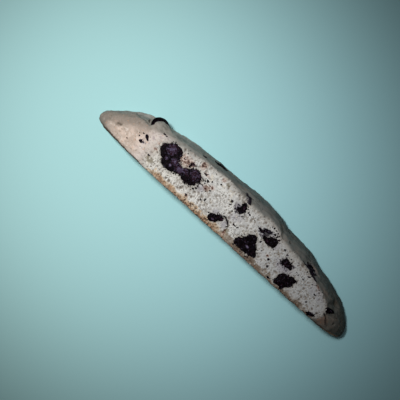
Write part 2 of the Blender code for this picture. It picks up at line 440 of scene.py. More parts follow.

# %% [markdown]
# ## Colour masks of the dough
#
# Heat browns a biscuit from outside. The cut is pale, its lower edge is toasted where it
# lay near the tray, and the crust runs from a pale skin at one tip to dark at the other.
# Chocolate has stained the crumb round some chips, brown where it was rubbed in and lilac
# where it only left a haze. Other masks paint shade: in pores, creases and cracks, on steep
# sides, along the lowest edges, and towards the dark tip where the lamp's pool fades.

# %% Browning of the crust and toast of the edge, and painted shade
BROWNING = ((-69, 0.62), (-62, 0.50), (-50, 0.29), (-35, 0.40), (-25, 0.48), (-10, 0.70), (8, 0.62),
            (30, 0.60), (45, 0.70), (55, 0.82), (69, 1.0))
browning = np.interp(along, *zip(*BROWNING))
FOLD_LINE = ((-69, 9.0), (-62, 9.6), (-57.6, 14.2), (-48, 14.4), (-44, 15.4), (-40.8, 17.0), (-34, 18.5))
above_fold = ramp(up - np.interp(along, *zip(*FOLD_LINE)), -1.4, 0.8)
pink = (1 - ramp(along, -43, -36)) * (1 - 0.8 * above_fold) * ramp(facing[:, 2], 0.05, 0.5)
# The skin dulls towards the crust and the tip: partly toast, partly painted shade where it turns away from
# straight up.
DUN_LINE = ((-69, 0.0), (-66, 2.5), (-61, 6.5), (-54, 10.0), (-46, 13.0), (-40, 17.0))
shade_and_toast_of_skin = ramp(up - np.interp(along, *zip(*DUN_LINE)), -3.5, 2.0)
shade_and_toast_of_skin = np.maximum(shade_and_toast_of_skin, 1 - ramp(along + 0.3 * up, -66.0, -57.0))
shade_and_toast_of_skin += 0.5 * (1 - ramp(along, -67.5, -63.0)) + 0.4 * (1 - ramp(facing[:, 2], 0.25, 0.75))
# The baked bottom darkens towards its two long edges: partly toast, partly painted shade.
reach = 2.6 + 5.5 * (1 - ramp(along, -58, -32)) + 9.0 * (1 - ramp(along, -65, -52))
reach += 4.0 * ramp(along, 38, 62) + 0.8 * wander
singed = ramp(height, TOP - reach, TOP - 0.4 * reach) + ramp(height, 2.2, 0.6)
singed = np.minimum(singed, 1)
# Painted shade along the lowest edge of the pale tip, next to the table.
bottom_edge_shade = np.exp(-((up / 0.60) ** 2)) * (1 - ramp(along, -46, -32)) * (1 - cut)
bottom_edge_shade *= ramp(height, 3.0, 9.0) * (1 - 0.8 * sole)
# Painted shade where the crust turns steeply away on the right half, and low on the dark tip.
steep_side_shade = (1 - ramp(facing[:, 2], 0.12, 0.60)) * ramp(along, 0, 24)
steep_side_shade += (1 - ramp(height, 2, 6)) * ramp(along, 45, 60)
steep_side_shade = np.minimum(steep_side_shade, 1) * (1 - sole)
TOAST_DEPTH = ((-40, 3.8), (-20, 3.7), (-6, 3.4), (5, 4.3), (17, 3.9), (30, 2.7), (69, 2.6))
deep = np.interp(along, *zip(*TOAST_DEPTH))
toast = 1 - ramp(up + 1.3 * grain(rest, 0.0032, seed=12), 0.0, deep)
toast *= ramp(along + 2.5 * wander, -43, -31) * cut
powder = ramp(along + 3.5 * grain(rest, 0.0024, seed=13, octaves=3), -51, -43) * (1 - above_fold)
# Painted shade over the slice towards the dark tip, where the lamp's pool fades.
shade_towards_dark_tip = ramp(along, -8, 30)
patch_of_rust = patch(rest, 56.7, 3.3, 7.5, 6.0, -30) * (1 - top_cut)

# %% Stains of chocolate, and lines of painted shade
STAINS = (
    (-28.8, 13.6, 8.5, 6.5, 0), (-26.2, 14.4, 4.0, 3.0, 20), (-21.5, 17.1, 4.0, 4.6, 0),
    (-13.3, 12.6, 3.6, 2.6, 10), (-15.0, 11.0, 4.0, 3.0, 0), (2.9, 1.9, 1.8, 2.4, 0),
    (-18.2, 15.2, 4.0, 1.6, 5), (-11.6, 18.3, 2.8, 2.2, 0),
    (-19.0, 3.3, 2.6, 1.8, 0), (-41.6, 11.5, 2.2, 1.4, 0), (-41.2, 8.8, 3.2, 1.5, 0),
    (2.6, 2.6, 1.6, 4.0, 0), (22.5, 7.6, 1.8, 1.4, 0), (46.6, 11.9, 4.0, 1.6, -25),
)
HAZES = (
    (31.0, 8.0, 11.0, 6.5, -10), (15.2, 12.5, 4.0, 3.0, 0), (22.7, 12.9, 2.6, 4.4, 0),
    (2.4, 10.4, 7.0, 5.0, 30), (0.6, 5.0, 3.6, 3.6, 0), (-16.3, 9.7, 4.0, 5.0, 0),
    (-0.8, 14.2, 3.4, 4.2, 0), (-5.6, 6.6, 3.6, 2.4, 40), (-46.6, 7.3, 2.0, 1.6, 0),
)
OLIVE = (
    (-40.2, 4.0, 5.6, 3.2, -15), (-3.4, 14.0, 2.0, 1.8, 0), (-9.0, 18.0, 2.6, 1.8, 0),
    (3.4, 3.6, 2.2, 3.4, 20),
)
# Dark lines: smears of chocolate, and painted shade in the flap's crack and in a crease of the dark tip.
SMUDGES_AND_CRACK_SHADE = (
    (((-1.0, 20.6), (1.2, 20.1), (2.8, 18.4)), 0.62), (((35.0, 16.1), (37.4, 16.0), (39.8, 15.0)), 0.60),
    (((39.4, 15.1), (44.2, 13.2)), 0.40), (((50.2, 1.2), (52.8, 1.9)), 0.62),
    (((52.8, 2.2), (54.0, 4.8)), 0.16), (((55.6, 5.8), (57.6, 4.3), (59.2, 2.4)), 0.26),
    (((21.4, 21.0), (23.4, 20.6)), 0.50), (((-1.8, 7.5), (-0.3, 7.1), (1.2, 6.3), (2.0, 5.0)), 0.36),
    (((14.8, 14.8), (15.9, 15.4), (17.2, 15.6)), 0.72), (((12.6, 13.7), (14.6, 13.5)), 0.55),
)
SMEARS = (
    (30.4, 9.9, 9.6, 6.6, 0), (16.4, 13.7, 9.6, 5.0, 8), (0.6, 13.6, 4.8, 6.0, 0),
    (1.6, 18.8, 4.0, 2.6, -25), (-31.0, 11.8, 3.0, 4.0, 0), (-27.0, 8.6, 7.0, 4.6, 0),
    (-19.4, 9.8, 3.6, 5.4, 0), (-3.6, 6.2, 4.4, 3.0, 30), (39.8, 15.3, 11.0, 3.0, -18),
    (51.6, 1.6, 4.6, 2.2, 10), (-34.6, 6.8, 6.0, 1.8, -30), (-46.6, 7.4, 2.6, 2.0, 0),
)
RAYS = [((43.6 + 1.15 * i, 13.0 - 0.35 * i), (45.0 + 1.15 * i, 8.2 - 0.5 * (i % 3))) for i in range(7)]


def add_up(marks):
    return sum(patch(rest, *mark) for mark in marks) * (height > 7)


def lines(marks):
    return sum(np.exp(-((line_distance(rest, route) / width) ** 2)) for route, width in marks)


smudges_and_crack_shade = lines(SMUDGES_AND_CRACK_SHADE)
hazy = add_up(HAZES) + 0.9 * lines([(ray, 0.32) for ray in RAYS]) * top_cut
# Paler towards the lower left of the cut.
paler_lower_left = (1 - ramp(along, -34, -12)) * ramp(11 - up, -3, 3)
masks = dict(
    cut=paleness, edge=4 * blurred * (1 - blurred), skin=pink, sole=sole, singed=singed,
    steep_side_shade=steep_side_shade, browning=browning, toast=toast, shade_towards_dark_tip=shade_towards_dark_tip, paler_lower_left=paler_lower_left, shade_and_toast_of_skin=shade_and_toast_of_skin, powder=powder,
    # Painted shade in creases, in the flap's crack and along the lowest edge.
    rust=patch_of_rust, crease_shade=0.8 * crease_shade + crack + bottom_edge_shade,
    stain=np.minimum(add_up(STAINS), 1), haze=np.minimum(hazy, 1), olive=add_up(OLIVE),
    smear=np.minimum(add_up(SMEARS), 1), smudges_and_crack_shade=smudges_and_crack_shade * (height > 7), pore_shade=pores,
)
for name, values in masks.items():
    write_mask(dough.data, name, values)
print("masks:", ", ".join(masks))

# %% [markdown]
# The mesh now has far more faces than its smooth parts need. A collapse takes them away where
# the surface is flat and keeps them round the pores. The masks come through it unharmed.

# %% Thin the mesh where it is smooth
DOUGH_TRIANGLES = 198000
surface, surface_facing = read_points(dough.data), read_normals(dough.data)


def thinned(piece, triangles):
    thin = piece.modifiers.new("thin", "DECIMATE")
    thin.ratio = triangles / (2 * len(piece.data.polygons))
    graph = bpy.context.evaluated_depsgraph_get()
    mesh = bpy.data.meshes.new_from_object(piece.evaluated_get(graph))
    piece.modifiers.clear()
    piece.data = mesh
    mesh.shade_smooth()


thinned(dough, DOUGH_TRIANGLES)

# %% [markdown]
# ## Writing finishes
#
# A finish is a tree of shader nodes. A small recipe class adds nodes and joins them, so that
# each finish below reads as a list of what is laid over what. All noise is taken in the
# slice's own coordinates, so its scale is true and it needs no image.

# %% A recipe for finishes


def paint(red, green, blue):
    """A colour as a screen shows it, from 0 to 255, turned into the light that it reflects."""
    shares = (channel / 255 for channel in (red, green, blue))
    return (*(s / 12.92 if s < 0.04045 else ((s + 0.055) / 1.055) ** 2.4 for s in shares), 1)


class Recipe:
    """One finish, made by adding nodes to a material."""

    def __init__(self, name):
        self.material = bpy.data.materials.new(name)
        self.material.use_nodes = True
        self.tree = self.material.node_tree
        self.shader = self.tree.nodes["Principled BSDF"]
        self.place = self.add("ShaderNodeTexCoord").outputs["Object"]

    def feed(self, socket, value):
        if isinstance(value, bpy.types.NodeSocket):
            self.tree.links.new(value, socket)
        else:
            socket.default_value = value

    def add(self, kind, inputs=None, **options):
        made = self.tree.nodes.new(kind)
        for name, value in options.items():
            setattr(made, name, value)
        for name, value in (inputs or {}).items():
            self.feed(made.inputs[name], value)
        return made

    def mask(self, name):
        return self.add("ShaderNodeAttribute", attribute_name=name).outputs["Fac"]

    def shifted(self, seed, stretch=1.0):
        """The place on the slice, moved for each seed, and drawn out along X by stretch."""
        inputs = {0: self.place, 1: (1 / stretch, 1, 1)}
        scaled = self.add("ShaderNodeVectorMath", inputs, operation="MULTIPLY")
        inputs = {0: scaled.outputs[0], 1: (seed * 0.731, seed * 0.417, seed * 0.193)}
        return self.add("ShaderNodeVectorMath", inputs, operation="ADD").outputs[0]

    def grain(self, size, seed=0, detail=2.0, rough=0.5, stretch=1.0):
        inputs = {"Vector": self.shifted(seed, stretch), "Scale": 1 / size}
        inputs.update({"Detail": detail, "Roughness": rough})
        return self.add("ShaderNodeTexNoise", inputs).outputs[0]

    def ramp(self, value, start, end, low=0.0, high=1.0):
        inputs = {"Value": value, "From Min": start, "From Max": end, "To Min": low, "To Max": high}
        return self.add("ShaderNodeMapRange", inputs, interpolation_type="SMOOTHSTEP").outputs[0]

    def times(self, first, second):
        return self.add("ShaderNodeMath", {0: first, 1: second}, operation="MULTIPLY").outputs[0]

    def shaken(self, value, noise, strength):
        """The value with noise added, so that a limit set on it breaks up into patches."""
        inputs = {0: noise, 1: strength, 2: -strength / 2}
        shift = self.add("ShaderNodeMath", inputs, operation="MULTIPLY_ADD").outputs[0]
        return self.add("ShaderNodeMath", {0: value, 1: shift}, operation="ADD").outputs[0]

    def blend(self, under, over, share):
        made = self.add("ShaderNodeMix", {0: share, 6: under, 7: over}, data_type="RGBA")
        return made.outputs[2]

    def steps(self, value, *stops):
        """Colours in order, each a place from 0 to 1 and a paint, with soft changes between."""
        made = self.add("ShaderNodeValToRGB", {0: value})
        band = made.color_ramp
        while len(band.elements) < len(stops):
            band.elements.new(1.0)
        for element, (place, colour) in zip(band.elements, stops):
            element.position = place
            element.color = colour
        return made.outputs[0]

    def bump(self, height, distance, strength=1.0):
        inputs = {"Height": height, "Distance": distance, "Strength": strength}
        return self.add("ShaderNodeBump", inputs).outputs[0]


# %% [markdown]
# ## The dough's finish
#
# Crumb is nearly white and quite matt. What makes it look like crumb is the pepper of dark
# points: pores in shade and dust of chocolate. The crust is a grey brown, mottled, and a
# little smoother. Each step lays one more thing over the last, by one of the masks.

# %% Finish of the crumb


def crumb_colour(r):
    colour = r.blend(paint(224, 223, 218), paint(202, 201, 197), r.ramp(r.grain(0.0040, seed=2), 0.38, 0.62))
    shade = r.ramp(r.grain(0.0011, seed=16, detail=3), 0.52, 0.68, high=0.70)
    colour = r.blend(colour, paint(168, 165, 159), shade)
    colour = r.blend(colour, paint(244, 243, 239), r.ramp(r.grain(0.0010, seed=13), 0.56, 0.68, high=0.7))
    colour = r.blend(colour, paint(216, 202, 178), r.ramp(r.grain(0.0028, seed=3), 0.58, 0.74, high=0.45))
    # Paler towards the lower left of the cut.
    colour = r.blend(colour, paint(246, 240, 226), r.times(r.mask("paler_lower_left"), 0.3))
    # Painted shade: the crumb greys towards the dark tip.
    colour = r.blend(colour, paint(180, 182, 183), r.times(r.mask("shade_towards_dark_tip"), 0.75))
    colour = r.blend(colour, paint(150, 140, 126), r.times(r.mask("edge"), 0.5))
    clumps = r.ramp(r.grain(0.0055, seed=1), 0.40, 0.62, low=0.30, high=1.0)
    fine = r.times(r.ramp(r.grain(0.00055, seed=4, detail=1), 0.58, 0.66), clumps)
    colour = r.blend(colour, paint(122, 115, 108), r.times(fine, 0.85))
    coarse = r.times(r.ramp(r.grain(0.0012, seed=14, detail=3, rough=0.6), 0.69, 0.74), clumps)
    colour = r.blend(colour, paint(84, 74, 66), r.times(coarse, 0.9))
    # Painted shade: the deeper a point lies in a pore, the darker it is painted.
    colour = r.blend(colour, paint(150, 142, 133), r.ramp(r.mask("pore_shade"), 0.15, 0.60, high=0.8))
    return r.blend(colour, paint(78, 66, 58), r.ramp(r.mask("pore_shade"), 0.65, 0.95, high=0.7))


def toasted(r, colour):
    """Cream, tan and dark brown by turns, more of each the nearer to the tray; towards the dark tip browner
    and greyer, partly toast and partly painted shade.
    """
    browner_and_shaded = r.ramp(r.mask("shade_towards_dark_tip"), 0.0, 0.35)
    heat = r.shaken(r.mask("toast"), r.grain(0.0018, seed=5, detail=5, rough=0.7), 3.0)
    heat = r.times(heat, r.ramp(r.mask("toast"), 0.0, 0.30))
    pale = r.blend(paint(210, 188, 160), paint(150, 139, 126), browner_and_shaded)
    colour = r.blend(colour, pale, r.ramp(heat, 0.02, 0.45, high=0.9))
    tan = r.blend(paint(170, 132, 102), paint(124, 108, 96), browner_and_shaded)
    tan = r.blend(tan, paint(119, 103, 89), r.ramp(r.mask("shade_towards_dark_tip"), 0.5, 1.0))
    colour = r.blend(colour, tan, r.ramp(heat, 0.45, 0.95, high=0.9))
    golden = r.ramp(r.grain(0.0013, seed=29, detail=4), 0.53, 0.66, high=0.75)
    golden = r.times(golden, r.ramp(heat, 0.3, 0.8))
    colour = r.blend(colour, r.blend(paint(194, 158, 124), paint(148, 121, 98), browner_and_shaded), golden)
    flecks = r.ramp(r.grain(0.0008, seed=6, detail=4, rough=0.7), 0.46, 0.55)
    patches = r.ramp(r.grain(0.0040, seed=27, detail=2), 0.42, 0.56, low=0.40)
    flecks = r.times(flecks, patches)
    return r.blend(colour, paint(70, 54, 42), r.times(flecks, r.ramp(heat, 0.15, 0.70, high=0.95)))


# %% Finish of the crust


def crust_colour(r):
    browned = r.shaken(r.mask("browning"), r.grain(0.0042, seed=9, detail=4, stretch=2.4), 0.5)
    colour = r.steps(browned, (0.0, paint(198, 188, 176)), (0.35, paint(150, 147, 140)),
                     (0.65, paint(106, 108, 105)), (1.0, paint(92, 88, 80)))
    cloud = r.grain(0.0034, seed=25, detail=4, rough=0.6, stretch=1.6)
    colour = r.blend(colour, paint(142, 122, 110), r.ramp(cloud, 0.52, 0.66, high=0.40))
    colour = r.blend(colour, paint(64, 70, 68), r.ramp(cloud, 0.47, 0.34, high=0.45))
    streak = r.grain(0.0011, seed=24, detail=4, rough=0.6, stretch=5)
    colour = r.blend(colour, paint(66, 62, 58), r.ramp(streak, 0.52, 0.66, high=0.35))
    colour = r.blend(colour, paint(158, 154, 144), r.ramp(streak, 0.48, 0.34, high=0.35))
    # Painted shade on steep sides of the crust and low on the dark tip.
    colour = r.blend(colour, paint(54, 54, 50), r.times(r.mask("steep_side_shade"), 0.5))
    colour = r.blend(colour, rosy_skin(r), r.mask("skin"))
    colour = r.blend(colour, paint(128, 108, 96), r.times(r.mask("rust"), 0.9))
    embers = r.times(r.mask("rust"), r.ramp(r.grain(0.0009, seed=19), 0.64, 0.70))
    colour = r.blend(colour, paint(158, 112, 84), embers)
    dots = r.ramp(r.grain(0.0008, seed=10, detail=3), 0.60, 0.70, high=0.35)
    colour = r.blend(colour, paint(140, 128, 112), dots)
    toasty = r.ramp(r.grain(0.0024, seed=11, detail=5, rough=0.65), 0.32, 0.68)
    base = r.blend(paint(192, 138, 100), paint(140, 94, 68), toasty)
    specks = r.ramp(r.grain(0.0007, seed=28, detail=3), 0.56, 0.68, high=0.5)
    base = r.blend(base, paint(96, 66, 50), specks)
    # Toast and painted shade along the edges of the baked bottom.
    base = r.blend(base, paint(76, 58, 44), r.mask("singed"))
    colour = r.blend(colour, base, r.mask("sole"))
    # Painted shade in the pores of the crust.
    return r.blend(colour, paint(60, 52, 46), r.ramp(r.mask("pore_shade"), 0.2, 0.7, high=0.6))


def rosy_skin(r):
    """The pale skin of the grazed tip: rosy below, duller towards the crust and the tip, partly toast and
    partly painted shade where the skin turns away.
    """
    mottle = r.ramp(r.grain(0.0036, seed=8, detail=4), 0.40, 0.60)
    colour = r.blend(paint(218, 197, 182), paint(190, 172, 158), mottle)
    # Painted shade and toast towards the crust and the tip.
    colour = r.blend(colour, paint(140, 129, 119), r.times(r.mask("shade_and_toast_of_skin"), 0.9))
    colour = r.blend(colour, paint(217, 207, 200), r.times(r.mask("powder"), 0.75))
    mauve = r.times(r.mask("powder"), r.ramp(r.grain(0.0016, seed=21), 0.52, 0.66))
    colour = r.blend(colour, paint(176, 160, 158), mauve)
    warm = r.ramp(r.grain(0.0011, seed=15, detail=3), 0.62, 0.72, high=0.6)
    colour = r.blend(colour, paint(206, 156, 122), warm)
    light = r.ramp(r.grain(0.0009, seed=18, detail=3), 0.52, 0.72, high=0.6)
    light = r.times(light, r.ramp(r.mask("shade_and_toast_of_skin"), 0.2, 0.9, 1.0, 0.25))
    colour = r.blend(colour, paint(228, 218, 208), light)
    dull = r.ramp(r.grain(0.0008, seed=22, detail=3), 0.60, 0.68, high=0.6)
    return r.blend(colour, paint(150, 134, 120), dull)


# %% Marks that lie over crumb and crust alike, painted shade in creases among them


def marked(r, colour):
    # Painted shade in creases and cracks and along the lowest edge of the pale tip.
    painted_crease_shade = r.shaken(r.mask("crease_shade"), r.grain(0.0007, seed=23, detail=3), 1.0)
    colour = r.blend(colour, paint(88, 80, 68), r.ramp(painted_crease_shade, 0.15, 0.85, high=0.80))
    colour = r.blend(colour, paint(198, 172, 158), r.times(r.mask("stain"), 0.7))
    colour = r.blend(colour, paint(162, 159, 168), r.times(r.mask("haze"), 0.6))
    moss = r.shaken(r.mask("olive"), r.grain(0.0010, seed=20, detail=3, rough=0.6), 3.2)
    colour = r.blend(colour, paint(114, 104, 80), r.ramp(moss, 0.30, 0.85, high=0.75))
    smear = r.shaken(r.mask("smear"), r.grain(0.00075, seed=26, detail=3), 3.4)
    bruise = r.blend(paint(106, 98, 116), paint(30, 23, 36), r.ramp(smear, 0.50, 0.95))
    smear = r.times(r.ramp(smear, 0.36, 0.90, high=0.90), r.ramp(r.mask("smear"), 0.0, 0.25))
    colour = r.blend(colour, bruise, smear)
    brown = r.shaken(r.mask("stain"), r.grain(0.0011, seed=7, detail=3, rough=0.6), 3.2)
    colour = r.blend(colour, paint(104, 74, 62), r.ramp(brown, 0.60, 1.05, high=0.9))
    colour = r.blend(colour, paint(58, 38, 38), r.ramp(brown, 1.10, 1.40, high=0.85))
    # Smears of chocolate, and painted shade in cracks and creases.
    smudged_and_shaded = r.ramp(r.shaken(r.mask("smudges_and_crack_shade"), r.grain(0.0008, seed=17, detail=3), 0.9), 0.25, 0.65)
    return r.blend(colour, paint(22, 17, 26), r.times(smudged_and_shaded, 0.985))


def dough_finish():
    r = Recipe("baked_dough")
    cut = r.mask("cut")
    crumb = toasted(r, crumb_colour(r))
    r.feed(r.shader.inputs["Base Color"], marked(r, r.blend(crust_colour(r), crumb, cut)))
    r.feed(r.shader.inputs["Roughness"], r.ramp(cut, 0, 1, 0.72, 0.92))
    r.shader.inputs["Specular IOR Level"].default_value = 0.10
    fine_grain = r.grain(0.00034, seed=12, detail=3, rough=0.6)
    r.feed(r.shader.inputs["Normal"], r.bump(fine_grain, 0.00012, 0.7))
    return r.material


DOUGH_FINISH = dough_finish()
finish_piece(dough, DOUGH_FINISH, "baked_dough", "biscuit")

# %% [markdown]
# ## Chocolate
#
# Dark chocolate is nearly black, with a satin shine that dents break up. On the large pair
# of chips cocoa butter has come to the surface as a bluish bloom, and lilac sheen and small
# highlights are painted over the same patches, so one mask holds both bloom and painted sheen.

# %% Finish of the chocolate


def chocolate_finish():
    r = Recipe("dark_chocolate")
    bloom_and_sheen = r.shaken(r.mask("bloom_and_sheen"), r.grain(0.0007, seed=30, detail=4, rough=0.75), 5.2)
    colour = r.blend(paint(10, 4, 7), paint(3, 1, 2), r.ramp(r.grain(0.0009, seed=31, detail=3), 0.42, 0.58))
    warm = r.ramp(r.shaken(r.mask("bloom_and_sheen"), r.grain(0.0012, seed=33, detail=3), 2.4), 0.20, 0.80)
    colour = r.blend(colour, paint(42, 20, 29), warm)
    # Bloom and painted sheen: lilac patches, with painted highlights where the mask is strongest.
    colour = r.blend(colour, paint(84, 76, 98), r.ramp(bloom_and_sheen, 0.50, 1.15))
    colour = r.blend(colour, paint(168, 154, 172), r.ramp(bloom_and_sheen, 1.45, 2.10))
    r.feed(r.shader.inputs["Base Color"], colour)
    r.feed(r.shader.inputs["Roughness"], r.ramp(bloom_and_sheen, 0.2, 1, 0.40, 0.70))
    r.shader.inputs["Specular IOR Level"].default_value = 0.02
    r.feed(r.shader.inputs["Normal"], r.bump(r.grain(0.0006, seed=32, detail=3), 0.00020, 0.8))
    return r.material


CHOCOLATE_FINISH = chocolate_finish()

# %% [markdown]
# ## The chips
#
# A chip that the knife has cut shows a flat face with a torn edge, and a little of it is
# smeared over the crumb around it. Each packed chip is laid over with a fine mesh. Its sides
# are pushed out unevenly past the pocket, and its face gets dents and follows the slow lumps
# of the dough, so that crumb pokes through along the edge.

# %% Shape the chips
CHIP_VOXEL = 0.00020
GAP = 0.30
SIDE_FACES = {"sole_chip_1": 0.1, "sole_chip_2": 0.1, "sole_chip_3": 0.1, "dome_chip": 0.4}
# Patches of bloom and of painted sheen on the chips.
BLOOM_AND_SHEEN_PATCHES = (
    (-35.8, 13.4, 5.6, 5.6, 0.85), (-31.8, 10.4, 4.2, 3.4, 0.80), (-35.2, 9.2, 2.6, 1.6, 0.9),
    (-32.2, 8.0, 1.5, 1.4, 1.6), (-28.6, 8.8, 5.0, 3.0, 0.55), (-27.2, 10.2, 6.4, 4.4, 0.60),
    (-22.0, 12.0, 7.0, 7.0, 0.50),
    (13.8, 4.6, 2.0, 1.1, 1.7), (-4.4, 3.4, 1.6, 1.2, 0.9), (-1.6, 5.8, 1.6, 1.4, 0.3),
    (30.6, 10.2, 3.0, 1.4, 0.30), (18.2, 12.2, 2.0, 1.0, 0.25), (2.0, 15.4, 1.4, 1.4, 0.2),
)
SHIFTS = {
    "dome_chip": (-16.4, 20.2, 9.0, 0.0, -0.65),
    "sliver_chip": (40.2, 16.1, 14.0, -0.3, -1.05),
}
fringe = []


def melt(node, seed):
    """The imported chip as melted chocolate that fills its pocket."""
    piece = even_mesh(f"chocolate_{node}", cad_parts[node].data.copy(), CHIP_VOXEL)
    points, outward = read_points(piece.data), read_normals(piece.data)
    level = points[:, 2] / MM
    top, base = ramp(level, TOP - 0.45, TOP - 0.10), 1 - ramp(level, 0.10, 0.45)
    outward[:, 2] *= 1 - np.maximum(top, base)
    outward[:, 1] *= SIDE_FACES.get(node, 1.0)
    push = GAP + 0.40 * grain(points, 0.0014, seed) + 0.42 * grain(points, 0.0006, seed + 1)
    push *= 1.7 if node.startswith("sole") else 1.0
    points = points + outward * (MM * push)[:, None]
    if node in SHIFTS:
        a, b, wide, move_a, move_b = SHIFTS[node]
        share = ramp(patch(points, a, b, wide * 2, wide * 2), 0, 1)[:, None]
        points = points + share * MM * np.array((move_a, move_b, 0))
    face = TOP + 0.05 + slow_lumps(points) - sunk_shoulder(points)
    face += 0.05 * grain(points, 0.0014, seed + 2, octaves=3)
    points[:, 2] = MM * np.minimum(points[:, 2] / MM * (1 - top) + face * top, face) * (1 - base)
    points = stirred(points)
    write_points(piece.data, settle(points))
    bloom_and_sheen = 0.1 + sum(strong * patch(points, a, b, long, wide) for a, b, long, wide, strong in BLOOM_AND_SHEEN_PATCHES)
    write_mask(piece.data, "bloom_and_sheen", bloom_and_sheen * (points[:, 2] > 0.5 * THICK))
    side = (np.hypot(outward[:, 0], outward[:, 1]) > 0.7) & (np.abs(level - TOP + 0.5) < 0.2)
    fringe.extend(zip(points[side], outward[side]))
    return piece


CHIPS = sorted(set(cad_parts) - {"biscuit", "crown_chip"})
for index, node in enumerate(CHIPS):
    finish_piece(melt(node, 20 + 3 * index), CHOCOLATE_FINISH, "dark_chocolate", node)

# %% [markdown]
# The crown chip is an egg of chocolate that lies a little further out than the blister over
# it, and so shows as a sickle along the blister's edge.

# %% The crown chip's sickle
SICKLE = egg("sickle", spot(-46.05, 16.75, 9.9 * MM), (4.25 * MM, 4.35 * MM, 1.6 * MM), CRUST_LEAN)
sickle = new_piece("chocolate_crown_chip", SICKLE)
sickle_points = read_points(sickle.data)
sickle_dents = 0.10 * MM * grain(sickle_points, 0.0014, seed=90)
write_points(sickle.data, sickle_points + read_normals(sickle.data) * sickle_dents[:, None])
write_mask(sickle.data, "bloom_and_sheen", np.full(len(sickle_points), 0.1))
finish_piece(sickle, CHOCOLATE_FINISH, "dark_chocolate", "crown_chip")

# %% [markdown]
# ## Flecks and crumbs
#
# Small bits of chocolate lie in the crumb, and small crumbs lie loose on the cut. There are
# hundreds, so each kind is one joined mesh: a lumpy pebble is copied as arrays of points,
# scaled, turned to the surface under it, and sunk in by part of its height.

# %% A joined mesh of many pebbles


def pebble_shape(rounds):
    build = bmesh.new()
    bmesh.ops.create_icosphere(build, subdivisions=rounds, radius=1.0)
    points = np.array([vert.co[:] for vert in build.verts])
    faces = np.array([[vert.index for vert in face.verts] for face in build.faces])
    build.free()
    return points, faces


def pebbles(name, bits, rounds, rough, seed):
    """Bits are (place, normal, length, width, height, turn), sizes in mm, turn in degrees."""
    points, faces = pebble_shape(rounds)
    all_points, all_faces = [], []
    for index, (place, normal, length, width, tall, turn) in enumerate(bits):
        lumps = 1 + rough * grain(points, 0.9, seed + index)
        shape = points * lumps[:, None] * np.array((length, width, tall)) * 0.5 * MM
        spin = Matrix.Rotation(math.radians(turn), 3, "Z")
        lie = Vector((0, 0, 1)).rotation_difference(Vector(normal)).to_matrix() @ spin
        all_points.append(shape @ np.array(lie).T + np.array(place))
        all_faces.append(faces + index * len(points))
    mesh = bpy.data.meshes.new(name)
    mesh.from_pydata(np.concatenate(all_points), [], np.concatenate(all_faces).tolist())
    mesh.shade_smooth()
    return new_piece(name, mesh)


ground = BVHTree.FromObject(dough, bpy.context.evaluated_depsgraph_get())


def on_top(along, up):
    """The dough's surface seen from above at a place, and the way it faces round about."""
    down = Vector((0, 0, -1))
    place = ground.ray_cast(spot(along, up, 0.03), down)[0]
    normal = Vector((0, 0, 0))
    for a, b in ((0, 0), (0.7, 0), (-0.7, 0), (0, 0.7), (0, -0.7)):
        normal += ground.ray_cast(spot(along + a, up + b, 0.03), down)[1] or down * -1
    return place, normal.normalized()


# %% Flecks of chocolate
FLECKS = (
    (-46.8, 10.1, 2.2, 1.2, -25), (-47.8, 7.2, 1.7, 1.2, -50), (-49.2, 10.3, 0.7, 0.6, 0),
    (-49.8, 8.4, 0.7, 0.5, 0), (-42.4, 16.0, 1.2, 0.8, -20), (-41.3, 15.7, 0.9, 0.6, 0),
    (-41.6, 5.1, 0.9, 0.7, 0), (-53.1, 4.3, 0.8, 0.4, -30), (-23.9, 20.1, 1.6, 1.1, 0),
    (-18.2, 15.2, 2.6, 0.6, 3), (-16.5, 13.8, 0.9, 0.7, 0), (-14.7, 14.6, 0.8, 0.7, 0),
    (-17.8, 8.0, 1.4, 0.7, -45), (-18.2, 9.2, 0.7, 0.6, 0), (-11.8, 7.3, 1.0, 0.8, 0),
    (-13.3, 6.2, 0.9, 0.6, 0), (-19.2, 3.4, 1.3, 0.7, -10), (-3.5, 14.4, 0.9, 0.9, 0),
    (-0.7, 12.9, 1.3, 0.6, 5), (-0.9, 11.3, 1.4, 0.8, 10), (4.0, 12.4, 1.1, 0.5, 20),
    (5.7, 15.0, 0.7, 0.6, 0), (3.8, 7.6, 1.1, 0.6, 0), (5.5, 7.7, 0.9, 0.5, 10),
    (15.9, 15.0, 2.5, 1.5, 20), (14.7, 14.4, 1.6, 1.1, 30), (13.2, 13.2, 2.0, 1.2, 10),
    (12.6, 13.6, 1.2, 0.9, 0),
    (18.4, 17.5, 0.7, 0.5, 0), (19.6, 17.2, 0.9, 0.5, 0), (20.9, 16.8, 1.2, 0.6, -35),
    (20.4, 15.9, 0.9, 0.6, 0), (18.8, 15.8, 1.0, 0.6, 0), (21.7, 15.3, 0.8, 0.6, 0),
    (16.3, 9.9, 0.9, 0.8, 0), (26.2, 14.2, 0.9, 0.8, 0), (28.3, 12.9, 1.0, 0.9, 0),
    (26.4, 11.3, 0.8, 0.6, 0), (23.6, 6.6, 0.8, 0.8, 0), (25.3, 4.2, 0.8, 0.8, 0),
    (30.4, 9.3, 1.4, 0.8, 15), (28.7, 13.2, 0.8, 0.7, 0), (40.6, 12.5, 1.3, 0.6, 20),
    (39.2, 13.6, 0.8, 0.6, 0), (39.8, 10.1, 0.8, 0.5, 0), (47.6, 8.8, 0.8, 0.6, 0),
    (48.6, 7.5, 0.7, 0.6, 0), (46.8, 4.0, 0.8, 0.7, 0), (51.6, 1.6, 2.6, 1.2, 12),
    (50.4, 0.8, 1.4, 0.9, 0), (28.7, 1.3, 1.4, 1.0, 0), (5.7, 3.6, 1.4, 0.6, 10),
)
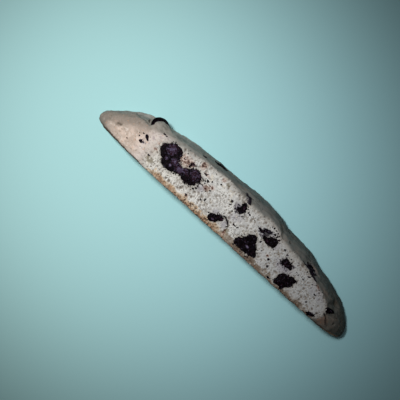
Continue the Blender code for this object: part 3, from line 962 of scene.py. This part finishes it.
CLUSTERS = (
    (-25.2, 14.2, 4.0, 2.4, 35, 26, 0.55), (-21.5, 17.0, 2.8, 2.8, 0, 10, 0.5),
    (-29.4, 12.6, 2.4, 3.2, 0, 9, 0.45), (-16.5, 12.0, 4.5, 6.0, 0, 20, 0.5),
    (-27.5, 6.6, 9.0, 1.8, 8, 12, 0.45), (19.6, 16.6, 5.0, 2.6, -15, 14, 0.45),
    (14.8, 13.6, 4.5, 3.0, 20, 12, 0.5), (31.0, 11.6, 5.6, 3.2, -10, 22, 0.5),
    (36.6, 9.0, 3.0, 4.0, 0, 8, 0.4), (0.6, 13.6, 4.4, 6.0, 0, 16, 0.45),
    (-5.0, 4.6, 7.0, 3.0, 40, 14, 0.45), (12.8, 6.0, 9.0, 6.0, 0, 16, 0.5),
    (40.5, 15.2, 8.0, 1.4, -18, 22, 0.6), (47.0, 11.0, 6.0, 2.0, -25, 8, 0.4),
)


def fleck(along, up, length, width, turn):
    """A fleck that the knife has cut flat, with most of it under the surface."""
    place, normal = on_top(along, up)
    tall = 0.5 * min(length, width, 1.6)
    return place - normal * (0.20 * tall * MM), normal, length * 1.3, width * 1.3, tall, turn


def cluster(along, up, length, width, turn, count, size):
    c, s = math.cos(math.radians(turn)), math.sin(math.radians(turn))
    made = []
    for _ in range(count):
        a, b = chance.normal(0, length / 4), chance.normal(0, width / 4)
        big = size * chance.uniform(0.6, 1.5)
        made.append(fleck(along + a * c - b * s, up + a * s + b * c, big, big * 0.7, chance.uniform(0, 180)))
    return made


bits = [fleck(*one) for one in FLECKS]
for one in CLUSTERS:
    bits += cluster(*one)
print("flecks placed by hand and in clusters:", len(bits))

# %% Flecks torn off round the edge of each cut chip
FRINGE = 220
for where in chance.choice(len(fringe), FRINGE, replace=False):
    place, outward = fringe[where]
    place = place + outward * chance.exponential(0.35) * MM
    big = 0.42 * chance.uniform(0.6, 1.6)
    bits.append(fleck(place[0] / MM, (place[1] - LOW.y) / MM, big, big * 0.7, chance.uniform(0, 180)))

# %% Pepper of chocolate over both cuts
PEPPER = 300
weight = (cut * (pores < 0.1) * ramp(along, -46, -30) + 0.02 * (1 - cut))
for where in chance.choice(len(surface), PEPPER, replace=False, p=weight / weight.sum()):
    big = float(np.clip(chance.lognormal(math.log(0.38), 0.35), 0.22, 0.9))
    bits.append((surface[where], surface_facing[where], big, big * 0.75, big * 0.35, chance.uniform(0, 180)))
flecks = pebbles("chocolate_flecks", bits, rounds=2, rough=0.8, seed=100)
settled = read_points(flecks.data)
write_points(flecks.data, settle(settled))
write_mask(flecks.data, "bloom_and_sheen", np.full(len(settled), 0.25))
finish_piece(flecks, CHOCOLATE_FINISH, "dark_chocolate")

# %% Loose crumbs
CRUMBS = 130
weight = cut * (1 - low_cut) * (pores < 0.1)
bits = []
for where in chance.choice(len(surface), CRUMBS, replace=False, p=weight / weight.sum()):
    big = float(np.clip(chance.lognormal(math.log(0.42), 0.35), 0.25, 0.95))
    bits.append((surface[where], surface_facing[where], big, big * 0.8, big * 0.7, chance.uniform(0, 180)))
crumbs = pebbles("loose_crumbs", bits, rounds=2, rough=0.9, seed=900)
settled = read_points(crumbs.data)
write_points(crumbs.data, settle(settled))
write_mask(crumbs.data, "cut", np.ones(len(settled)))
finish_piece(crumbs, DOUGH_FINISH, "baked_dough")

# %% [markdown]
# ## Table, light and camera
#
# A pale table and one soft lamp from the side of the pale tip show the slice as it is. The
# lamp is a spot with a wide soft edge, so its pool fades towards the dark tip. The camera
# looks almost straight down from far off, with a long lens, and is turned so that the slice
# lies across the picture from corner to corner.

# %% Table
TABLE_SIZE = 3.0
bpy.ops.mesh.primitive_plane_add(size=TABLE_SIZE)
table = bpy.context.object
table.name = "table"
tint = Recipe("table")
inputs = {0: tint.place, 1: (0.936, 0.352, 0.0)}
across = tint.add("ShaderNodeVectorMath", inputs, operation="DOT_PRODUCT").outputs["Value"]
cooler = tint.ramp(tint.shaken(across, tint.grain(0.05, seed=40), 0.03), -0.09, 0.09)
colour = tint.blend(paint(176, 222, 222), paint(171, 222, 230), cooler)
tint.feed(tint.shader.inputs["Base Color"], colour)
tint.shader.inputs["Roughness"].default_value = 0.85
tint.shader.inputs["Specular IOR Level"].default_value = 0.1
table.data.materials.append(tint.material)

# %% Light


def aim(thing, place, target):
    thing.location = place
    thing.rotation_mode = "QUATERNION"
    thing.rotation_quaternion = (Vector(target) - Vector(place)).to_track_quat("-Z", "Y")


lamp = bpy.data.lights.new("soft_lamp", "SPOT")
lamp.energy = 10.35
lamp.spot_size = math.radians(29.2)
lamp.spot_blend = 1.0
lamp.shadow_soft_size = 0.05
soft_lamp = bpy.data.objects.new("soft_lamp", lamp)
bpy.context.scene.collection.objects.link(soft_lamp)
aim(soft_lamp, (-0.211, 0.0385, 0.489), (-0.046, -0.0135, 0.0))

world = bpy.data.worlds.new("room")
world.use_nodes = True
world.node_tree.nodes["Background"].inputs["Color"].default_value = (1, 1, 1, 1)
world.node_tree.nodes["Background"].inputs["Strength"].default_value = 0.065
bpy.context.scene.world = world

# %% Camera
TURN = math.radians(42.4)
TILT = math.radians(3.2)
DISTANCE = 0.6
FIELD = 0.1644
SENSOR = 36.0

across = Vector((1, 0, 0))
upward = Vector((0, math.cos(TILT), -math.sin(TILT)))
right = across * math.cos(TURN) + upward * math.sin(TURN)
above = upward * math.cos(TURN) - across * math.sin(TURN)
back = right.cross(above)
target = spot(-13.5, 5.7)

eye = bpy.data.cameras.new("camera")
eye.sensor_width = SENSOR
eye.lens = SENSOR * DISTANCE / FIELD
eye.clip_start = 0.01
camera = bpy.data.objects.new("camera", eye)
bpy.context.scene.collection.objects.link(camera)
turned = Matrix((right, above, back)).transposed().to_4x4()
camera.matrix_world = Matrix.Translation(target + back * DISTANCE) @ turned
bpy.context.scene.camera = camera
bpy.context.scene.view_settings.view_transform = "Standard"
